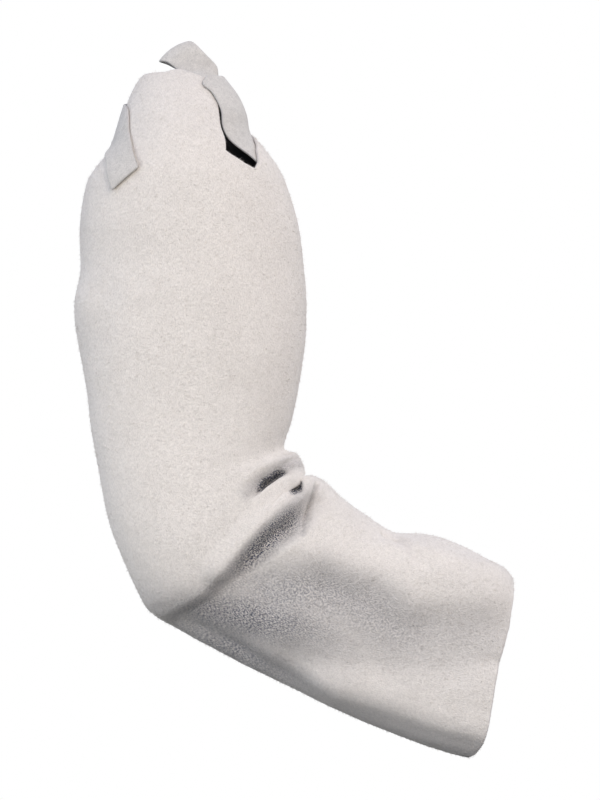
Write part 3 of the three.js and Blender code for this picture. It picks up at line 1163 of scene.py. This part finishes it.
@dataclass
class Strap:
    """Band of leather lofted through stations that give its outer face."""

    name: str
    form: ArmForm
    stations: tuple[Station, ...]
    flat_wide: float
    flat_long: float
    # Point inside the shoulder that the free stretch bows away from
    heart: tuple[float, float, float] = (5.0, 40.0, 55.0)
    rows_per_station: int = 12
    columns: int = 14
    piece: LeatherPiece = field(init=False)

    def edge(self, x: float, y: float | Face, z: float) -> Array:
        """Finds an edge point.

        Args:
            x: Its place across the front view.
            y: Its depth, or the face of the shoulder that it is laid on.
            z: Its height.

        Returns:
            The point.
        """
        if isinstance(y, Face):
            return self.form.on_face(x, y, z)
        return np.array([x, y, z], float)

    def build(self) -> None:
        """Makes the strap, which follows the shoulder wherever its stations lie on it."""
        table = []
        for s in self.stations:
            laid = float(isinstance(s.ay, Face))
            ends = [*self.edge(s.ax, s.ay, s.az), *self.edge(s.bx, s.by, s.bz)]
            table.append([*ends, s.lift, laid, (1 - laid) * s.lift])
        rows = (len(self.stations) - 1) * self.rows_per_station + 1
        places = spline(np.array(table), np.linspace(0, len(self.stations) - 1, rows))
        u = np.linspace(0, 1, self.columns + 1)
        first, second = places[:, None, 0:3], places[:, None, 3:6]
        free = first + (second - first) * u[None, :, None]
        out = unit((first + second) / 2 - np.array(self.heart))
        lift, laid, bow = (np.repeat(places[:, k], len(u)) for k in (6, 7, 8))
        flat = free.reshape(-1, 3)
        over = self.form.shoulder_point(flat[:, 2], self.form.angle_at(flat), lift)
        hump = (4 * u * (1 - u))[None, :, None] * out
        flat = flat + hump.reshape(-1, 3) * bow[:, None]
        share = np.clip(laid, 0, 1)[:, None]
        points = flat + (over - flat) * share

        grid = np.arange(len(points)).reshape(rows, len(u))
        quads = quad_corners(grid, Winding.ALONG)
        middle = (places[:, 0:3] + places[:, 3:6]) / 2
        wide = np.linalg.norm(places[:, 3:6] - places[:, 0:3], axis=1).mean()
        flat_places = np.stack(np.meshgrid(u * wide, length_along(middle)), axis=-1)
        run = quad_corners(flat_places, Winding.ALONG)
        self.piece = LeatherPiece(self.name, STRAP_WALL, (STRAP_NAP, STRAP_NAP, STRAP_EDGE), Slot.STRAP)
        none = np.zeros(points.shape)
        self.piece.make(LeatherNet(points, quads, run, none[:, 0], none))

    def dress(self) -> None:
        """Finishes the strap and gives it its place in the frame."""
        self.piece.dress()


class Roots(NamedTuple):
    """Feet of loose fibres, with the way that each one lies and stands."""

    place: Array
    out: Array
    lay: Array
    run: Array
    painted_shade: Array


@dataclass
class NapFibres:
    """Loose fibre bundles of the nap, which roughen the leather, its outline and its cut edges."""

    piece: LeatherPiece
    count: int = 36000
    edge_count: int = 3000
    seed: int = 11
    # More fibres stand up in creases
    crease_gain: float = 2.5
    # Least and greatest width, length along the leather and rise off it of a bundle
    wide: tuple[float, float] = (0.2, 0.5)
    long: tuple[float, float] = (0.6, 1.9)
    rise: tuple[float, float] = (0.2, 2.4)
    # The higher this power, the more bundles lie low
    rise_power: int = 4
    # Depth of the feet in the leather, and spread of the lay in radians
    foot: float = 0.25
    turn: float = 0.9
    obj: bpy.types.Object = field(init=False)

    def build(self) -> None:
        """Strews closed slivers over the outer face and along the cut edges."""
        rng = np.random.default_rng(self.seed)
        both = zip(self.on_face(rng), self.on_edges(rng))
        roots = Roots(*(np.concatenate(pair) for pair in both))
        count = len(roots.place)
        wide = rng.uniform(*self.wide, (count, 1))
        long = rng.uniform(*self.long, (count, 1))
        low, high = self.rise
        rise = low + (high - low) * rng.random((count, 1)) ** self.rise_power
        side = np.cross(roots.out, roots.lay) * wide / 2
        foot = roots.place - roots.out * self.foot
        back = roots.place + roots.out * wide / 2
        tip = roots.place + roots.lay * long + roots.out * rise
        slivers = np.stack([foot + side, foot - side, back, tip], axis=1)
        corners = slivers.shape[1]
        pattern = np.array([[1, 0, 3], [0, 2, 3], [2, 1, 3], [0, 1, 2]])
        faces = (pattern[None] + corners * np.arange(count)[:, None, None]).reshape(-1, 3)
        run = np.repeat(roots.run, len(pattern), axis=0)[:, None].repeat(3, axis=1)
        layers = np.zeros(len(faces), int)
        painted_shade = np.repeat(roots.painted_shade, corners)
        self.obj = mesh_object("nap_fibres", slivers.reshape(-1, 3), faces, run, layers, painted_shade)

    def on_face(self, rng: np.random.Generator) -> Roots:
        """Strews feet all over the outer face, by area and closer in creases.

        Args:
            rng: Source of random numbers.

        Returns:
            The feet.
        """
        net = self.piece.net
        corners = net.points[net.quads]
        facing = np.cross(corners[:, 2] - corners[:, 0], corners[:, 3] - corners[:, 1])
        painted_shade = net.painted_shade[net.quads].mean(axis=1)
        weight = np.linalg.norm(facing, axis=1) * (1 + self.crease_gain * painted_shade)
        chosen = rng.choice(len(weight), self.count, p=weight / weight.sum())
        u, v = rng.random((2, self.count))
        shares = np.stack([(1 - u) * (1 - v), (1 - u) * v, u * v, u * (1 - v)], axis=1)[:, :, None]
        corners = corners[chosen]
        out = unit(facing[chosen])
        down = unit(corners[:, 1] - corners[:, 0])
        turn = rng.normal(0, self.turn, (self.count, 1))
        lay = down * np.cos(turn) + np.cross(out, down) * np.sin(turn)
        place = (corners * shares).sum(axis=1)
        return Roots(place, out, lay, (net.run[chosen] * shares).sum(axis=1), painted_shade[chosen])

    def on_edges(self, rng: np.random.Generator) -> Roots:
        """Strews feet along the cut edges, anywhere in the thickness of the leather.

        Args:
            rng: Source of random numbers.

        Returns:
            The feet.
        """
        net = self.piece.net
        edges = net.free_edges()
        start, end = net.points[edges[:, 0]], net.points[edges[:, 1]]
        reach = np.linalg.norm(end - start, axis=1)
        chosen = rng.choice(len(reach), self.edge_count, p=reach / reach.sum())
        start, end = start[chosen], end[chosen]
        out = net.normals()[edges[chosen, 0]]
        share, depth = rng.random((2, self.edge_count, 1))
        place = start + (end - start) * share - out * depth * self.piece.wall
        away = unit(np.cross(end - start, out))
        lay = unit(away + rng.normal(0, self.turn / 2, (self.edge_count, 3)))
        return Roots(place, out, lay, place[:, [0, 2]], np.zeros(self.edge_count))

    def dress(self) -> None:
        """Gives the fibres the finish of the leather that they grow from."""
        self.obj.data.materials.append(self.piece.obj.data.materials[Layer.OUTER])
        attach(self.obj, BODY)


@dataclass
class SeamStitches:
    """Two rows of thread that close the lap seam along the back of the sleeve."""

    sleeve: Sleeve
    finish: Thread
    past_edge: tuple[float, ...] = (3.0, 9.0)
    top: float = 2.0
    pitch: float = 4.0
    long: float = 2.9
    thick: float = 0.65
    sides: int = 6
    rings: int = 6
    # Thicknesses by which a stitch arches up and by which its ends sink in
    arch: float = 0.8
    sink: float = 0.4
    # Points that measure a row, and the sections that it leaves free at the cuff
    row_points: int = 1500
    cuff_gap: float = 0.05
    # How far directions look to both sides: sections along the row, degrees across it
    look_along: float = 0.02
    look_across: float = 0.5
    obj: bpy.types.Object = field(init=False)

    def row(self, past_edge: float) -> tuple[Array, Array, Array]:
        """Finds the path of each stitch of one row.

        Args:
            past_edge: Distance from the edge of the upper layer.

        Returns:
            Points, directions across the row and directions off the leather, by stitch and ring.
        """
        sleeve = self.sleeve
        turn = sleeve.seam_angle + past_edge * 360 / sleeve.girth
        start = sleeve.form.along_at(np.array([self.top]))[0]
        along = np.linspace(start, sleeve.form.last - self.cuff_gap, self.row_points)
        line = sleeve.skin(along, np.full(len(along), turn))[0]
        length = length_along(line)
        middles = np.arange(self.pitch, length[-1] - self.pitch, self.pitch)
        step = np.linspace(-0.5, 0.5, self.rings)
        at = np.interp((middles[:, None] + step * self.long).ravel(), length, along)
        turns = np.full(len(at), turn)
        path = sleeve.skin(at, turns)[0]
        across, on = self.look_across, self.look_along
        aside = sleeve.skin(at, turns + across)[0] - sleeve.skin(at, turns - across)[0]
        ahead = sleeve.skin(at + on, turns)[0] - sleeve.skin(at - on, turns)[0]
        out = unit(np.cross(ahead, aside))
        aside = unit(np.cross(out, ahead))
        lift = np.tile(self.thick * (self.arch * np.cos(math.pi * step) - self.sink), len(middles))
        path = path + out * lift[:, None]
        shape = (len(middles), self.rings, 3)
        return path.reshape(shape), aside.reshape(shape), out.reshape(shape)

    def build(self) -> None:
        """Makes the stitches as closed bent tubes."""
        path, aside, out = (np.concatenate(p) for p in zip(*(self.row(p) for p in self.past_edge)))
        turns = np.linspace(0, math.tau, self.sides, endpoint=False)[:, None]
        around = np.cos(turns) * aside[:, :, None] + np.sin(turns) * out[:, :, None]
        skin = path[:, :, None] + around * (self.thick / 2)
        stitches = len(path)
        points = np.concatenate([skin.reshape(stitches, -1, 3), path[:, :1], path[:, -1:]], axis=1)
        faces = []
        last = self.rings - 1
        for side in range(self.sides):
            near = (side + 1) % self.sides
            for ring in range(last):
                a, b = ring * self.sides + side, ring * self.sides + near
                faces += [[a, b, b + self.sides], [a, b + self.sides, a + self.sides]]
            faces.append([self.rings * self.sides, near, side])
            faces.append([self.rings * self.sides + 1, last * self.sides + side, last * self.sides + near])
        step = points.shape[1]
        tubes = (np.array(faces)[None] + step * np.arange(stitches)[:, None, None]).reshape(-1, 3)
        flat = points.reshape(-1, 3)
        none = np.zeros(len(flat))
        self.obj = mesh_object(
            "seam_stitches", flat, tubes, flat[tubes][:, :, [0, 2]], np.zeros(len(tubes), int), none
        )

    def dress(self) -> None:
        """Gives the stitches their thread."""
        self.obj.data.materials.append(self.finish.material())
        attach(self.obj, BODY)


class Lamp(NamedTuple):
    """Soft square light."""

    name: str
    place: tuple[float, float, float]
    side: float
    watts: float
    colour: str


@dataclass
class Studio:
    """Pale floor, soft lights and the camera."""

    lamps: tuple[Lamp, ...] = (
        Lamp("key_light", (1.2, -2.0, 1.1), 1.1, 28.2, "#ffefdc"),
        Lamp("left_fill", (-0.95, -0.8, -0.6), 0.6, 7.9, "#f7f8f4"),
        Lamp("right_fill", (1.9, -0.9, -0.3), 1.2, 5.0, "#f6f8f2"),
    )
    aim: tuple[float, float, float] = (0.05, 0.0, -0.22)
    # The photo's 800 rows cover this height at the armhole's depth
    picture_height: float = 0.64
    picture_middle: tuple[float, float] = (0.0936, -0.2)
    camera_away: float = 1.6
    camera_reach: float = 50.0
    floor_drop: float = 0.3
    floor_radius: float = 1.3
    floor_sides: int = 128
    # Light of the surroundings: below the horizon, round it, and overhead
    ground_glow: float = 0.1
    sky_glow: float = 1.5
    top_glow: float = 0.35
    # Heights on a unit sphere over which the sky sets in and fades overhead
    sky_rises: tuple[float, float] = (0.0, 0.35)
    sky_fades: tuple[float, float] = (0.5, 0.95)
    sky_colour: str = "#e8eeff"

    def build(self) -> None:
        """Makes the floor, the surroundings, the lights and the camera."""
        self.floor()
        self.surroundings()
        for lamp in self.lamps:
            self.light(lamp)
        self.camera()

    def floor(self) -> None:
        """Makes a round pale floor well below the sleeve."""
        sides = range(self.floor_sides)
        level = CAD_BOX[0].z - self.floor_drop
        turns = [math.tau * k / self.floor_sides for k in sides]
        ring = [(self.floor_radius * math.cos(t), self.floor_radius * math.sin(t), level) for t in turns]
        mesh = bpy.data.meshes.new("floor")
        mesh.from_pydata(ring, [], [list(sides)])
        mesh.materials.append(FloorPaint().material())
        floor = add_object("floor", mesh)
        floor.visible_diffuse = False

    def surroundings(self) -> None:
        """Makes surroundings that look white and light the sleeve from above the horizon."""
        world = bpy.data.worlds.new("studio")
        world.use_nodes = True
        world.node_tree.nodes.clear()
        add = partial(add_node, world.node_tree)
        height = add("SeparateXYZ", {"Vector": add("TexCoord")["Generated"]})["Z"]
        glow = self.ground_glow
        for (low, high), then in ((self.sky_rises, self.sky_glow), (self.sky_fades, self.top_glow)):
            span = {"Value": height, "From Min": low, "From Max": high, "To Min": glow, "To Max": then}
            glow = add("MapRange", span, interpolation_type="SMOOTHSTEP")["Result"]
        sky = add("Background", {"Color": linear(self.sky_colour), "Strength": glow})["Background"]
        paper = add("Background", {"Color": (1.0, 1.0, 1.0, 1.0)})["Background"]
        seen = add("LightPath")["Is Camera Ray"]
        shown = add("MixShader", {0: seen, 1: sky, 2: paper})["Shader"]
        add("OutputWorld", {"Surface": shown})
        bpy.context.scene.world = world

    def light(self, lamp: Lamp) -> None:
        """Makes one soft light that faces the sleeve.

        Args:
            lamp: Its place, size, power and colour.
        """
        data = bpy.data.lights.new(lamp.name, "AREA")
        data.size = lamp.side
        data.energy = lamp.watts
        data.color = linear(lamp.colour)[:3]
        obj = add_object(lamp.name, data)
        obj.location = lamp.place
        toward = Vector(self.aim) - Vector(lamp.place)
        obj.rotation_euler = toward.to_track_quat("-Z", "Y").to_euler()

    def camera(self) -> None:
        """Makes the camera level, in front, with the photo's framing."""
        data = bpy.data.cameras.new("camera")
        data.lens = data.sensor_width * self.camera_away / self.picture_height
        data.clip_end = self.camera_reach
        obj = add_object("camera", data)
        x, z = self.picture_middle
        obj.location = (x, -self.camera_away, z)
        obj.rotation_euler = (math.pi / 2, 0.0, 0.0)
        bpy.context.scene.camera = obj
        bpy.context.scene.view_settings.view_transform = "Standard"


def report(obj: bpy.types.Object) -> None:
    """Logs a piece with its number of faces."""
    LOG.info("%s: %d faces", obj.name, len(obj.data.polygons))


def main() -> None:
    """Builds the studio, the sleeve and its straps."""
    logging.basicConfig(level=logging.INFO, format="%(name)s %(message)s")
    Studio().build()
    form = ArmForm()
    sleeve = Sleeve(form)
    sleeve.build()
    sleeve.dress()
    report(sleeve.piece.obj)
    straps = (
        Strap("front_strap", form, FRONT_STRAP, flat_wide=0.024, flat_long=0.16),
        Strap("shoulder_strap", form, SHOULDER_STRAP, flat_wide=0.026, flat_long=0.3),
    )
    for strap in straps:
        strap.build()
        strap.dress()
        report(strap.piece.obj)
    for trim in (NapFibres(sleeve.piece), SeamStitches(sleeve, SEAM_THREAD)):
        trim.build()
        trim.dress()
        report(trim.obj)


if __name__ == "__main__":
    main()
